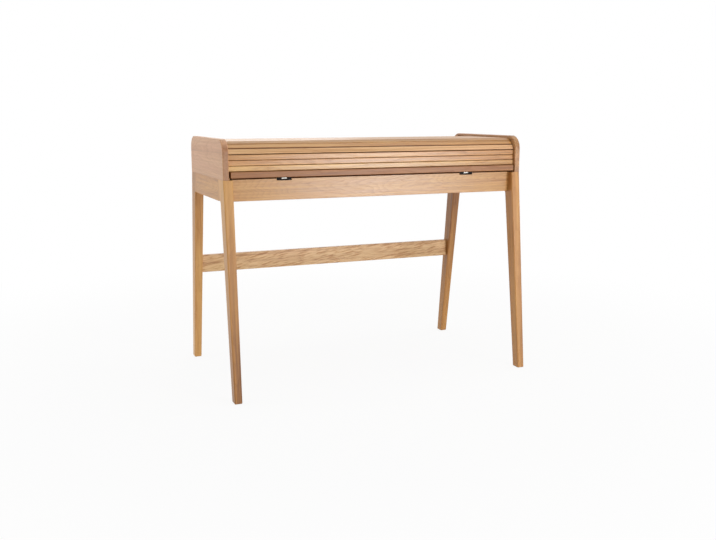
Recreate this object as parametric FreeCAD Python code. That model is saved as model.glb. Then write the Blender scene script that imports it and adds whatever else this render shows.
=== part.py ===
import FreeCAD, Part
import math
import os

from FreeCAD import Matrix, Vector

# A tambour desk: raked legs and aprons, a shallow case between two cheeks, a slatted shutter
# that rolls back over the case, and a worktop that pulls out on two ball slides.
# Millimetres, +Z up, front towards -Y, origin on the floor in the middle of the four feet.

# ---------------------------------------------------------------- case and frame
CASE_WIDTH = 1100.0
CASE_DEPTH = 470.0
CASE_BOTTOM = 720.0
CHEEK_THICKNESS = 20.0
CHEEK_CORNER_RADIUS = 46.0
CHEEK_ARRIS = 2.0

FOOT_SPREAD = 640.0
FRONT_RAKE = 75.0
LEG_WIDTH_TOP = 32.0
LEG_WIDTH_FOOT = 26.0
LEG_DEPTH_TOP = 44.0
LEG_DEPTH_FOOT = 36.0
LEG_EAR_DEPTH = 70.0
LEG_EAR_FILLET = 12.0
LEG_ARRIS = 4.0
FOOT_CHAMFER = 1.5

APRON_HEIGHT = 70.0
APRON_THICKNESS = 20.0
APRON_SETBACK = 22.0
APRON_ARRIS = 1.5
SIDE_APRON_THICKNESS = 22.0
CORNER_BLOCK_SIDE = 26.0
CORNER_BLOCK_HEIGHT = 56.0

STRETCHER_HEIGHT = 65.0
STRETCHER_THICKNESS = 20.0
STRETCHER_BOTTOM = 340.0
STRETCHER_FRONT = 245.0

TENON_LENGTH = 16.0
TENON_THICKNESS = 9.0
TENON_SHOULDER = 10.0
JOINT_CLEARANCE = 0.1
SPLINE_WIDTH = 24.0
SPLINE_THICKNESS = 6.0
SPLINE_END = 25.0
HOUSING_DEPTH = 5.0
HOUSING_SHOULDER = 4.0

GLIDE_RADIUS = 9.0
GLIDE_HEIGHT = 2.0

TOP_PANEL_THICKNESS = 12.0
PANEL_NOSE_RADIUS = 3.5
BACK_PANEL_THICKNESS = 12.0
REAR_STOP_WIDTH = 13.0
REAR_STOP_HEIGHT = 2.0

# ---------------------------------------------------------------- shutter
SLAT_PITCH = 17.75
SLAT_THICKNESS = 6.0
SLAT_GAP = 0.5
SLAT_ARRIS = 2.0
SLAT_SETBACK = 12.0
CHEEK_RISE = 8.5
SLAT_END_CLEARANCE = 1.0
LEAD_CLEARANCE = 1.0
TONGUE_LENGTH = 5.0
TONGUE_INSET = 1.0
GROOVE_DEPTH = 6.0
GROOVE_CLEARANCE = 0.5
CLOTH_THICKNESS = 0.6
CLOTH_INSET = 30.0
CLOTH_GAP = 0.3
PANEL_CLEARANCE = 0.4
PANEL_FRONT_CLEARANCE = 3.0
FRONT_SLATS = 3
CURVE_SLATS = 3
TOP_SLATS = 15

# ---------------------------------------------------------------- worktop and slides
WORKTOP_THICKNESS = 19.5
WORKTOP_DEPTH = 390.0
WORKTOP_SIDE_GAP = 5.5
WORKTOP_GAP_BELOW = 6.0
WORKTOP_TRAVEL = 250.0
LIPPING_DEPTH = 20.0
LIPPING_ARRIS = 1.5

SLIDE_INSET = 210.0
SLIDE_SETBACK = 25.0
SLIDE_LENGTH = 350.0
SLIDE_WIDTH = 45.0
SLIDE_HEIGHT = 11.5
SLIDE_SHEET = 1.2
SLIDE_TOP_CLEARANCE = 0.4
SLIDE_LIP = 2.5
RACE_WIDTH = 4.0
CAGE_LENGTH = 80.0
CAGE_CLEARANCE = 0.3
NOTCH_CLEARANCE = 3.0
BEARER_WIDTH = 60.0
BEARER_HEIGHT = 24.0

# ---------------------------------------------------------------- places worked out from the sizes
HALF_WIDTH = CASE_WIDTH / 2
INNER_HALF_WIDTH = HALF_WIDTH - CHEEK_THICKNESS
LEG_INNER_X = HALF_WIDTH - LEG_WIDTH_TOP
FOOT_FRONT = -FOOT_SPREAD / 2
FOOT_BACK = FOOT_SPREAD / 2
CASE_FRONT = FOOT_FRONT + FRONT_RAKE
CASE_BACK = CASE_FRONT + CASE_DEPTH
APRON_BOTTOM = CASE_BOTTOM - APRON_HEIGHT
APRON_FRONT = CASE_FRONT + APRON_SETBACK
REAR_APRON_BACK = CASE_BACK - APRON_SETBACK

WORKTOP_BOTTOM = CASE_BOTTOM + WORKTOP_GAP_BELOW
WORKTOP_TOP = WORKTOP_BOTTOM + WORKTOP_THICKNESS
WORKTOP_HALF_WIDTH = INNER_HALF_WIDTH - WORKTOP_SIDE_GAP
WORKTOP_BACK = CASE_FRONT + WORKTOP_DEPTH

SLIDE_BOTTOM = WORKTOP_BOTTOM - SLIDE_HEIGHT
SLIDE_FRONT = CASE_FRONT + SLIDE_SETBACK
SLIDE_HALF_WIDTH = SLIDE_WIDTH / 2
INNER_MEMBER_HALF_WIDTH = SLIDE_HALF_WIDTH - SLIDE_SHEET - RACE_WIDTH
SLIDE_X = HALF_WIDTH - SLIDE_INSET
CAGE_FRONT = SLIDE_FRONT + WORKTOP_TRAVEL / 2 + (SLIDE_LENGTH - WORKTOP_TRAVEL - CAGE_LENGTH) / 2
BEARER_TOP = SLIDE_BOTTOM
NOTCH_BOTTOM = SLIDE_BOTTOM - GROOVE_CLEARANCE

SLAT_HALF_LENGTH = INNER_HALF_WIDTH - SLAT_END_CLEARANCE
LEAD_EDGE_Z = WORKTOP_TOP + LEAD_CLEARANCE
TURN_ANGLE = 90.0 / (CURVE_SLATS + 1)
CORNER_REACH = SLAT_PITCH * sum(
    math.sin(math.radians(TURN_ANGLE * (step + 1))) for step in range(CURVE_SLATS))
CLOTH_FRONT_Y = CASE_FRONT + SLAT_SETBACK + SLAT_THICKNESS
CLOTH_TOP_Z = LEAD_EDGE_Z + FRONT_SLATS * SLAT_PITCH + CORNER_REACH
CASE_TOP = CLOTH_TOP_Z + SLAT_THICKNESS + CHEEK_RISE
SHUTTER_TOP_FRONT_Y = CLOTH_FRONT_Y + CORNER_REACH
SHUTTER_TRAVEL = (FRONT_SLATS + CURVE_SLATS) * SLAT_PITCH
SHUTTER_BACK_OPEN = SHUTTER_TOP_FRONT_Y + TOP_SLATS * SLAT_PITCH + SHUTTER_TRAVEL
TRACK_RADIUS = (CURVE_SLATS + 1) * SLAT_PITCH / math.radians(90.0)

TOP_PANEL_TOP = CLOTH_TOP_Z - CLOTH_THICKNESS - PANEL_CLEARANCE
TOP_PANEL_BOTTOM = TOP_PANEL_TOP - TOP_PANEL_THICKNESS
TOP_PANEL_FRONT = SHUTTER_TOP_FRONT_Y + SHUTTER_TRAVEL + PANEL_FRONT_CLEARANCE
BACK_PANEL_FRONT = REAR_APRON_BACK - BACK_PANEL_THICKNESS


# ---------------------------------------------------------------- shape helpers
def box(x_range, y_range, z_range):
    """A box between three pairs of limits."""
    low = Vector(x_range[0], y_range[0], z_range[0])
    return Part.makeBox(x_range[1] - x_range[0], y_range[1] - y_range[0],
                        z_range[1] - z_range[0], low)


def mirror_x(shape):
    """The same piece on the other side of the desk."""
    return shape.mirror(Vector(0, 0, 0), Vector(1, 0, 0))


def both_sides(shape):
    """A left and a right copy of a piece modelled on the left (-X)."""
    return {"left": shape, "right": mirror_x(shape)}


def rounded_wire(corners):
    """A closed wire in the YZ plane through (y, z, radius) corners, rounded by tangent arcs."""
    arcs = []
    count = len(corners)
    for index, (y, z, radius) in enumerate(corners):
        here = Vector(0, y, z)
        back = (Vector(0, *corners[index - 1][:2]) - here).normalize()
        ahead = (Vector(0, *corners[(index + 1) % count][:2]) - here).normalize()
        half_angle = back.getAngle(ahead) / 2
        reach = radius / math.tan(half_angle)
        middle = (back + ahead).normalize() * (radius / math.sin(half_angle) - radius)
        arcs.append((here + back * reach, here + middle, here + ahead * reach, radius))
    edges = []
    for index, (start, middle, end, radius) in enumerate(arcs):
        if radius > 0:
            edges.append(Part.Arc(start, middle, end).toShape())
        edges.append(Part.makeLine(end, arcs[(index + 1) % count][0]))
    return Part.Wire(edges)


def prism_x(corners, x_low, x_high):
    """A YZ outline swept along X."""
    face = Part.Face(rounded_wire(corners))
    face.translate(Vector(x_low, 0, 0))
    return face.extrude(Vector(x_high - x_low, 0, 0))


def prism_y(points, y_low, y_high):
    """An XZ polygon swept along Y."""
    path = [Vector(x, y_low, z) for x, z in points]
    face = Part.Face(Part.makePolygon(path + path[:1]))
    return face.extrude(Vector(0, y_high - y_low, 0))


def round_edges(shape, radius, wanted):
    """Fillet the edges that the test picks."""
    edges = [edge for edge in shape.Edges if wanted(edge)]
    return shape.makeFillet(radius, edges)


def runs_along(edge, axis):
    """Whether a straight edge is parallel to an axis."""
    if not isinstance(edge.Curve, Part.Line):
        return False
    return abs(edge.Curve.Direction.dot(axis)) > 0.9999


# ---------------------------------------------------------------- joinery
# Each of these is the piece itself, or, with a clearance, the hollow that it goes into.
def cross_rails():
    """Middle along Y, lower side and upper side of the front, rear and low cross rails."""
    return [(APRON_FRONT + APRON_THICKNESS / 2, APRON_BOTTOM, CASE_BOTTOM),
            (REAR_APRON_BACK - APRON_THICKNESS / 2, APRON_BOTTOM, CASE_BOTTOM),
            (STRETCHER_FRONT + STRETCHER_THICKNESS / 2, STRETCHER_BOTTOM,
             STRETCHER_BOTTOM + STRETCHER_HEIGHT)]


def rail_tenon(rail_middle, low, high, clearance=0.0):
    """The left tenon of a cross rail, with its root inside the rail."""
    reach = TENON_THICKNESS / 2 + clearance
    return box((-LEG_INNER_X - TENON_LENGTH - clearance, -LEG_INNER_X + TENON_LENGTH),
               (rail_middle - reach, rail_middle + reach),
               (low + TENON_SHOULDER - clearance, high - TENON_SHOULDER + clearance))


def side_tenons(clearance=0.0):
    """Both tenons of the left side apron as one bar, below the groove for the spline."""
    middle = -HALF_WIDTH + SIDE_APRON_THICKNESS / 2
    reach = TENON_THICKNESS / 2 + clearance
    beyond = TENON_LENGTH - LEG_EAR_DEPTH + clearance
    return box((middle - reach, middle + reach), (CASE_FRONT - beyond, CASE_BACK + beyond),
               (APRON_BOTTOM + TENON_SHOULDER - clearance,
                CASE_BOTTOM - SPLINE_WIDTH / 2 - TENON_SHOULDER / 2 + clearance))


def spline(clearance=0.0):
    """The loose strip between the left cheek and the side frame under it."""
    middle = -HALF_WIDTH + CHEEK_THICKNESS / 2
    reach = SPLINE_THICKNESS / 2 + clearance
    return box((middle - reach, middle + reach),
               (CASE_FRONT + SPLINE_END - clearance, CASE_BACK - SPLINE_END + clearance),
               (CASE_BOTTOM - SPLINE_WIDTH / 2 - clearance,
                CASE_BOTTOM + SPLINE_WIDTH / 2 + clearance))


def panel_tongues(clearance=0.0):
    """The tongues of the top panel as one board, held below the shutter's track."""
    reach = INNER_HALF_WIDTH + HOUSING_DEPTH + clearance
    return box((-reach, reach), (TOP_PANEL_FRONT - clearance, REAR_APRON_BACK + clearance),
               (TOP_PANEL_BOTTOM - clearance, TOP_PANEL_TOP - HOUSING_SHOULDER + clearance))


def with_tenons(rail, place):
    """A cross rail with a tenon at each end; place is its row of cross_rails."""
    left = rail_tenon(*place)
    return rail.fuse([left, mirror_x(left)]).removeSplitter()


# ---------------------------------------------------------------- frame pieces
def leg(case_y, foot_y, inward):
    """A raked, tapered leg on the left, with the ear that the side apron meets.

    case_y and foot_y are its outer side at the top and at the floor; inward is +1 for a
    front leg and -1 for a rear one.
    """
    def on_line(top, bottom, z):
        return bottom[0] + (top[0] - bottom[0]) * (z - bottom[1]) / (top[1] - bottom[1])

    outer_top, outer_foot = (case_y, CASE_BOTTOM), (foot_y, 0.0)
    inner_top = (case_y + inward * LEG_DEPTH_TOP, APRON_BOTTOM)
    inner_foot = (foot_y + inward * LEG_DEPTH_FOOT, 0.0)
    ear_y = case_y + inward * LEG_EAR_DEPTH
    side = [(*outer_top, 0.0), (ear_y, CASE_BOTTOM, 0.0), (ear_y, APRON_BOTTOM, 0.0),
            (*inner_top, LEG_EAR_FILLET),
            (on_line(inner_top, inner_foot, GLIDE_HEIGHT), GLIDE_HEIGHT, 0.0),
            (on_line(outer_top, outer_foot, GLIDE_HEIGHT), GLIDE_HEIGHT, 0.0)]
    if inward < 0:
        side.reverse()
    inner_x = -HALF_WIDTH + LEG_WIDTH_TOP
    blank = prism_x(side, -HALF_WIDTH, inner_x)
    y_range = sorted((min(case_y, foot_y) - LEG_DEPTH_TOP, max(case_y, foot_y) + LEG_EAR_DEPTH))
    waste = prism_y([(inner_x, APRON_BOTTOM), (-HALF_WIDTH + LEG_WIDTH_FOOT, 0.0),
                     (inner_x, 0.0)], y_range[0] - LEG_EAR_DEPTH, y_range[1])
    tapered = blank.cut(waste)

    def long_edge(edge):
        low, high = edge.BoundBox.ZMin, edge.BoundBox.ZMax
        return high - low > APRON_HEIGHT * 1.5 and low < APRON_BOTTOM / 2
    rounded = round_edges(tapered, LEG_ARRIS, long_edge)
    foot = [edge for edge in rounded.Edges if edge.BoundBox.ZMax < GLIDE_HEIGHT + 0.01]
    return rounded.makeChamfer(FOOT_CHAMFER, foot)


def side_apron():
    """The rail between the ears of the left legs, flush with their outer faces."""
    y_range = (CASE_FRONT + LEG_EAR_DEPTH, CASE_BACK - LEG_EAR_DEPTH)
    rail = box((-HALF_WIDTH, -HALF_WIDTH + SIDE_APRON_THICKNESS), y_range,
               (APRON_BOTTOM, CASE_BOTTOM))
    return rail.fuse(side_tenons()).removeSplitter()


def cross_apron(front_y):
    """A rail between two legs, with rounded lower edges."""
    rail = box((-LEG_INNER_X, LEG_INNER_X), (front_y, front_y + APRON_THICKNESS),
               (APRON_BOTTOM, CASE_BOTTOM))
    return round_edges(rail, APRON_ARRIS, lambda edge: runs_along(edge, Vector(1, 0, 0))
                       and edge.BoundBox.ZMax < CASE_BOTTOM - 1)


def front_apron():
    """The front rail, notched where the two slides run through."""
    reach = SLIDE_HALF_WIDTH + NOTCH_CLEARANCE
    notch = box((-reach, reach), (APRON_FRONT - 1, APRON_FRONT + APRON_THICKNESS + 1),
                (NOTCH_BOTTOM, CASE_BOTTOM + 1))
    return cross_apron(APRON_FRONT).cut(at_slide([notch], -1) + at_slide([notch], 1))


def rear_stretcher(rear_legs):
    """The low rail between the rear legs, its ends cut to their tapered inner faces."""
    reach = HALF_WIDTH - LEG_WIDTH_FOOT / 2
    rail = box((-reach, reach), (STRETCHER_FRONT, STRETCHER_FRONT + STRETCHER_THICKNESS),
               (STRETCHER_BOTTOM, STRETCHER_BOTTOM + STRETCHER_HEIGHT))
    rail = round_edges(rail, APRON_ARRIS, lambda edge: runs_along(edge, Vector(1, 0, 0)))
    return rail.cut(rear_legs)


def corner_blocks():
    """Four glued blocks where the cross aprons meet the legs."""
    blocks = []
    middle = (APRON_BOTTOM + CASE_BOTTOM) / 2
    low = middle - CORNER_BLOCK_HEIGHT / 2
    for face_y, inward in ((APRON_FRONT + APRON_THICKNESS, 1),
                           (REAR_APRON_BACK - APRON_THICKNESS, -1)):
        corner = Vector(-LEG_INNER_X, face_y, low)
        path = [corner, corner + Vector(CORNER_BLOCK_SIDE, 0, 0),
                corner + Vector(0, inward * CORNER_BLOCK_SIDE, 0), corner]
        block = Part.Face(Part.makePolygon(path)).extrude(Vector(0, 0, CORNER_BLOCK_HEIGHT))
        blocks += [block, mirror_x(block)]
    return blocks


def glides():
    """A round nylon glide under each foot."""
    x = HALF_WIDTH - LEG_WIDTH_FOOT / 2
    places = [(side * x, y) for side in (-1, 1)
              for y in (FOOT_FRONT + LEG_DEPTH_FOOT / 2, FOOT_BACK - LEG_DEPTH_FOOT / 2)]
    return [Part.makeCylinder(GLIDE_RADIUS, GLIDE_HEIGHT, Vector(x, y, 0)) for x, y in places]


# ---------------------------------------------------------------- case pieces
def track_groove():
    """The groove in the left cheek that follows the shutter's path."""
    outer_y = CASE_FRONT + SLAT_SETBACK - GROOVE_CLEARANCE
    inner_y = CLOTH_FRONT_Y + GROOVE_CLEARANCE
    outer_z = CLOTH_TOP_Z + SLAT_THICKNESS + GROOVE_CLEARANCE
    inner_z = CLOTH_TOP_Z - GROOVE_CLEARANCE
    end_y = SHUTTER_BACK_OPEN + GROOVE_CLEARANCE
    outline = [(outer_y, LEAD_EDGE_Z, 0.0),
               (outer_y, outer_z, TRACK_RADIUS + SLAT_THICKNESS + GROOVE_CLEARANCE),
               (end_y, outer_z, 0.0), (end_y, inner_z, 0.0),
               (inner_y, inner_z, TRACK_RADIUS - GROOVE_CLEARANCE),
               (inner_y, LEAD_EDGE_Z, 0.0)]
    return prism_x(outline, -INNER_HALF_WIDTH - GROOVE_DEPTH, -INNER_HALF_WIDTH + 1)


def cheek():
    """The left cheek: a board with two rounded top corners, bevelled edges and the track."""
    outline = [(CASE_FRONT, CASE_BOTTOM, 0.0), (CASE_FRONT, CASE_TOP, CHEEK_CORNER_RADIUS),
               (CASE_BACK, CASE_TOP, CHEEK_CORNER_RADIUS), (CASE_BACK, CASE_BOTTOM, 0.0)]
    board = prism_x(outline, -HALF_WIDTH, -INNER_HALF_WIDTH)

    outline_edges = [edge for edge in board.Edges
                     if edge.BoundBox.XLength < 1 and edge.BoundBox.ZMax > CASE_BOTTOM + 1]
    bevelled = board.makeChamfer(CHEEK_ARRIS, outline_edges)
    return bevelled.cut([track_groove(), spline(JOINT_CLEARANCE),
                         panel_tongues(JOINT_CLEARANCE), back_panel(JOINT_CLEARANCE)])


def top_panel():
    """The fixed board behind the opening that the shutter slides over, rounded at its front."""
    y_range = (TOP_PANEL_FRONT, REAR_APRON_BACK)
    board = box((-INNER_HALF_WIDTH, INNER_HALF_WIDTH), y_range,
                (TOP_PANEL_BOTTOM, TOP_PANEL_TOP))
    rounded = round_edges(board, PANEL_NOSE_RADIUS,
                          lambda edge: runs_along(edge, Vector(1, 0, 0))
                          and edge.BoundBox.YMax < TOP_PANEL_FRONT + 1
                          and edge.BoundBox.ZMin > TOP_PANEL_BOTTOM + 1)
    return rounded.fuse(panel_tongues()).removeSplitter()


def rear_stop():
    """The strip behind the shutter that ends its travel."""
    y_range = (REAR_APRON_BACK - REAR_STOP_WIDTH, REAR_APRON_BACK)
    strip = box((-INNER_HALF_WIDTH, INNER_HALF_WIDTH), y_range,
                (TOP_PANEL_TOP, TOP_PANEL_TOP + REAR_STOP_HEIGHT))
    return round_edges(strip, REAR_STOP_HEIGHT / 3,
                       lambda edge: runs_along(edge, Vector(1, 0, 0))
                       and edge.BoundBox.ZMin > TOP_PANEL_TOP + 1)


def back_panel(clearance=0.0):
    """The board that closes the back of the case: on the rear apron, housed in the cheeks."""
    reach = INNER_HALF_WIDTH + HOUSING_DEPTH + clearance
    return box((-reach, reach), (BACK_PANEL_FRONT - clearance, REAR_APRON_BACK + clearance),
               (CASE_BOTTOM - clearance, TOP_PANEL_BOTTOM + clearance))


# ---------------------------------------------------------------- shutter
def slat_section(length_half, with_tongues):
    """One slat lying flat: it ends at y = 0, its cloth side is at z = 0, its face is up."""
    low, high = -SLAT_PITCH + SLAT_GAP / 2, -SLAT_GAP / 2
    body = prism_x([(low, 0.0, 0.0), (high, 0.0, 0.0), (high, SLAT_THICKNESS, SLAT_ARRIS),
                    (low, SLAT_THICKNESS, SLAT_ARRIS)], -length_half, length_half)
    if not with_tongues:
        return body
    reach = length_half + TONGUE_LENGTH
    tongue = box((-reach, reach), (low + TONGUE_INSET, high - TONGUE_INSET),
                 (TONGUE_INSET, SLAT_THICKNESS - TONGUE_INSET))
    return body.fuse(tongue).removeSplitter()


def cloth_strip(slats):
    """The backing cloth of a run of slats that lies flat and ends at y = 0."""
    reach = SLAT_HALF_LENGTH - CLOTH_INSET
    return box((-reach, reach), (-slats * SLAT_PITCH + CLOTH_GAP, -CLOTH_GAP),
               (-CLOTH_THICKNESS, 0.0))


def placed(shape, hinge, angle):
    """A flat piece turned down by an angle at a hinge line, given as (y, z)."""
    copy = shape.copy()
    copy.rotate(Vector(0, 0, 0), Vector(1, 0, 0), angle)
    copy.translate(Vector(0, *hinge))
    return copy


def hinge_lines():
    """The lines where the bent part of the closed shutter turns, from the top forwards."""
    y, z = SHUTTER_TOP_FRONT_Y, CLOTH_TOP_Z
    lines = [(y, z, TURN_ANGLE)]
    for step in range(CURVE_SLATS):
        angle = TURN_ANGLE * (step + 1)
        y -= SLAT_PITCH * math.cos(math.radians(angle))
        z -= SLAT_PITCH * math.sin(math.radians(angle))
        lines.append((y, z, angle + TURN_ANGLE))
    return lines


def shutter():
    """Every slat and strip of cloth of the closed shutter, by name."""
    pieces = {}
    sliding = slat_section(SLAT_HALF_LENGTH, with_tongues=True)
    rolling = slat_section(SLAT_HALF_LENGTH, with_tongues=False)
    for index in range(TOP_SLATS):
        end = (SHUTTER_TOP_FRONT_Y + (index + 1) * SLAT_PITCH, CLOTH_TOP_Z)
        pieces[f"top_slat_{index + 1:02d}"] = placed(sliding, end, 0.0)
    top_end = (SHUTTER_TOP_FRONT_Y + TOP_SLATS * SLAT_PITCH, CLOTH_TOP_Z)
    pieces["top_cloth"] = placed(cloth_strip(TOP_SLATS), top_end, 0.0)
    lines = hinge_lines()
    for index, (y, z, angle) in enumerate(lines[:CURVE_SLATS]):
        number = CURVE_SLATS - index
        pieces[f"curve_slat_{number}"] = placed(rolling, (y, z), angle)
        pieces[f"curve_cloth_{number}"] = placed(cloth_strip(1), (y, z), angle)
    y, z, angle = lines[-1]
    for index in range(FRONT_SLATS):
        place = (y, z - index * SLAT_PITCH)
        pieces[f"front_slat_{FRONT_SLATS - index}"] = placed(rolling, place, angle)
    pieces["front_cloth"] = placed(cloth_strip(FRONT_SLATS), (y, z), angle)
    return pieces


# ---------------------------------------------------------------- worktop and slides
def worktop():
    """The pull-out board behind its lipping."""
    return box((-WORKTOP_HALF_WIDTH, WORKTOP_HALF_WIDTH),
               (CASE_FRONT + LIPPING_DEPTH, WORKTOP_BACK), (WORKTOP_BOTTOM, WORKTOP_TOP))


def worktop_lipping():
    """The solid strip along the front edge of the worktop."""
    strip = box((-WORKTOP_HALF_WIDTH, WORKTOP_HALF_WIDTH),
                (CASE_FRONT, CASE_FRONT + LIPPING_DEPTH), (WORKTOP_BOTTOM, WORKTOP_TOP))
    return round_edges(strip, LIPPING_ARRIS, lambda edge: edge.BoundBox.YMax < CASE_FRONT + 1)


def slide_outer():
    """The fixed channel of a slide, at x = 0: flat base, two walls and their turned-in lips."""
    wide, sheet = SLIDE_HALF_WIDTH, SLIDE_SHEET
    low, high = SLIDE_BOTTOM, WORKTOP_BOTTOM - SLIDE_TOP_CLEARANCE
    lip = wide - sheet - SLIDE_LIP
    half = [(wide, low), (wide, high), (lip, high), (lip, high - sheet),
            (wide - sheet, high - sheet), (wide - sheet, low + sheet)]
    other = [(-x, z) for x, z in reversed(half)]
    return prism_y(half + other, SLIDE_FRONT, SLIDE_FRONT + SLIDE_LENGTH)


def slide_inner():
    """The moving member under the worktop, at x = 0: a web with two flanges turned down."""
    wide, sheet = INNER_MEMBER_HALF_WIDTH, SLIDE_SHEET
    low, high = SLIDE_BOTTOM + 2 * SLIDE_SHEET, WORKTOP_BOTTOM
    half = [(wide, high), (wide, low), (wide - sheet, low), (wide - sheet, high - sheet)]
    other = [(-x, z) for x, z in reversed(half)]
    return prism_y(half + other, SLIDE_FRONT, SLIDE_FRONT + SLIDE_LENGTH)


def slide_cage():
    """The two bars of caged balls that run between the members of one slide, at x = 0."""
    low = SLIDE_BOTTOM + SLIDE_SHEET + CAGE_CLEARANCE
    high = WORKTOP_BOTTOM - SLIDE_TOP_CLEARANCE - SLIDE_SHEET - CAGE_CLEARANCE
    inner, outer = (INNER_MEMBER_HALF_WIDTH + CAGE_CLEARANCE,
                    INNER_MEMBER_HALF_WIDTH + RACE_WIDTH - CAGE_CLEARANCE)
    bar = box((-outer, -inner), (CAGE_FRONT, CAGE_FRONT + CAGE_LENGTH), (low, high))
    return [bar, mirror_x(bar)]


def slide_bearer():
    """The rail under a slide, at x = 0, let into the two cross aprons."""
    return box((-BEARER_WIDTH / 2, BEARER_WIDTH / 2),
               (APRON_FRONT + APRON_THICKNESS - HOUSING_DEPTH,
                REAR_APRON_BACK - APRON_THICKNESS + HOUSING_DEPTH),
               (BEARER_TOP - BEARER_HEIGHT, BEARER_TOP))


def bearer_housing():
    """The hollow for a bearer, at x = 0, open at the top of the aprons."""
    reach = BEARER_WIDTH / 2 + JOINT_CLEARANCE
    return box((-reach, reach),
               (APRON_FRONT + APRON_THICKNESS - HOUSING_DEPTH - JOINT_CLEARANCE,
                REAR_APRON_BACK - APRON_THICKNESS + HOUSING_DEPTH + JOINT_CLEARANCE),
               (BEARER_TOP - BEARER_HEIGHT, CASE_BOTTOM + 1))


def at_slide(shapes, side):
    """Copies of pieces modelled at x = 0, moved to the left (-1) or right (+1) slide."""
    offset = Vector(side * SLIDE_X, 0, 0)
    return [shape.translated(offset) for shape in shapes]


# ---------------------------------------------------------------- the whole desk
def side_pieces(legs):
    """The pieces that the left side has and the right side mirrors."""
    mortises = [rail_tenon(*rail, JOINT_CLEARANCE) for rail in cross_rails()]
    mortises += [side_tenons(JOINT_CLEARANCE), spline(JOINT_CLEARANCE)]
    return {"front_leg": legs[0].cut(mortises), "rear_leg": legs[1].cut(mortises),
            "side_apron": side_apron().cut(spline(JOINT_CLEARANCE)), "cheek": cheek()}


def frame_nodes():
    """The fixed pieces of the frame and the case."""
    legs = leg(CASE_FRONT, FOOT_FRONT, 1), leg(CASE_BACK, FOOT_BACK, -1)
    front_place, rear_place, low_place = cross_rails()
    housings = at_slide([bearer_housing()], -1) + at_slide([bearer_housing()], 1)
    rear_apron = cross_apron(REAR_APRON_BACK - APRON_THICKNESS)
    nodes = {}
    for name, shape in side_pieces(legs).items():
        for side, copy in both_sides(shape).items():
            nodes[f"{side}_{name}"] = copy
    nodes["front_apron"] = with_tenons(front_apron().cut(housings), front_place)
    nodes["rear_apron"] = with_tenons(rear_apron.cut(housings), rear_place)
    stretcher = rear_stretcher([legs[1], mirror_x(legs[1])])
    nodes["rear_stretcher"] = with_tenons(stretcher, low_place)
    nodes["top_panel"] = top_panel()
    nodes["back_panel"] = back_panel()
    nodes["rear_stop"] = rear_stop()
    nodes["splines"] = [spline(), mirror_x(spline())]
    nodes["corner_blocks"] = corner_blocks()
    nodes["glides"] = glides()
    return nodes


def slide_nodes():
    """The worktop, its two slides and the bearers under them."""
    nodes = {"worktop": worktop(), "worktop_lipping": worktop_lipping()}
    for side, name in ((-1, "left"), (1, "right")):
        nodes[f"{name}_slide_bearer"] = at_slide([slide_bearer()], side)
        nodes[f"{name}_slide_outer"] = at_slide([slide_outer()], side)
        nodes[f"{name}_slide_inner"] = at_slide([slide_inner()], side)
        nodes[f"{name}_slide_cage"] = at_slide(slide_cage(), side)
    return nodes


def desk():
    """Every node of the desk, by name."""
    return {**frame_nodes(), **slide_nodes(), **shutter()}


def write(nodes):
    """One STEP file per node; a node of several solids becomes a compound."""
    os.makedirs("parts", exist_ok=True)
    for name, shape in nodes.items():
        if isinstance(shape, list):
            shape = shape[0] if len(shape) == 1 else Part.makeCompound(shape)
        shape.exportStep(f"parts/{name}.step")


write(desk())
print("hinge lines (y, z, angle):", [tuple(round(v, 4) for v in line) for line in hinge_lines()])
print("shutter travel", SHUTTER_TRAVEL, "worktop travel", WORKTOP_TRAVEL)
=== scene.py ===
"""Looks of a tambour desk: raked legs, a slatted shutter and a worktop on ball slides.

Everything is in metres: +X to the right, +Y to the back, +Z up, with the floor at z = 0.
"""

import logging
import math
from dataclasses import dataclass, field, replace
from enum import Enum
from itertools import count
from typing import Any, Optional, Sequence, Union

import bpy
import numpy as np
from mathutils import Euler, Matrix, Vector


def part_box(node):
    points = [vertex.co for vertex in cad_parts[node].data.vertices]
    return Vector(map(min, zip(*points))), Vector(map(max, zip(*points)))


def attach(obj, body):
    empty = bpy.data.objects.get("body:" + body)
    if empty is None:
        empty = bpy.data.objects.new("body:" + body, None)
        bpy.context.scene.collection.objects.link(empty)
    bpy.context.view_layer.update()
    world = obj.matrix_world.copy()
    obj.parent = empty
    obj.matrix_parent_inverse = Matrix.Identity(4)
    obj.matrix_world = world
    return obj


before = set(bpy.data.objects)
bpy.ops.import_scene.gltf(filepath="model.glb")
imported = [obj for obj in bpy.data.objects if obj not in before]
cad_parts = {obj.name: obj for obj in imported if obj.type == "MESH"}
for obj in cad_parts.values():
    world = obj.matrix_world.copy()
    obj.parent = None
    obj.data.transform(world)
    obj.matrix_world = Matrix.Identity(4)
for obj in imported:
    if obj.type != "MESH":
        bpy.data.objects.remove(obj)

LOG = logging.getLogger("tambour_desk")

# How strong each octave of noise is next to the one before.
OCTAVE_STRENGTH = 0.55
# Where a board's middle lies in its log, by its seed: a step (m) and a count per axis.
SEED_LATTICE = ((0.37, 13), (0.113, 17), (0.071, 11))

Number = Union["Field", float, int]
Triple = tuple[float, float, float]
Colour = tuple[float, float, float]


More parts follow.
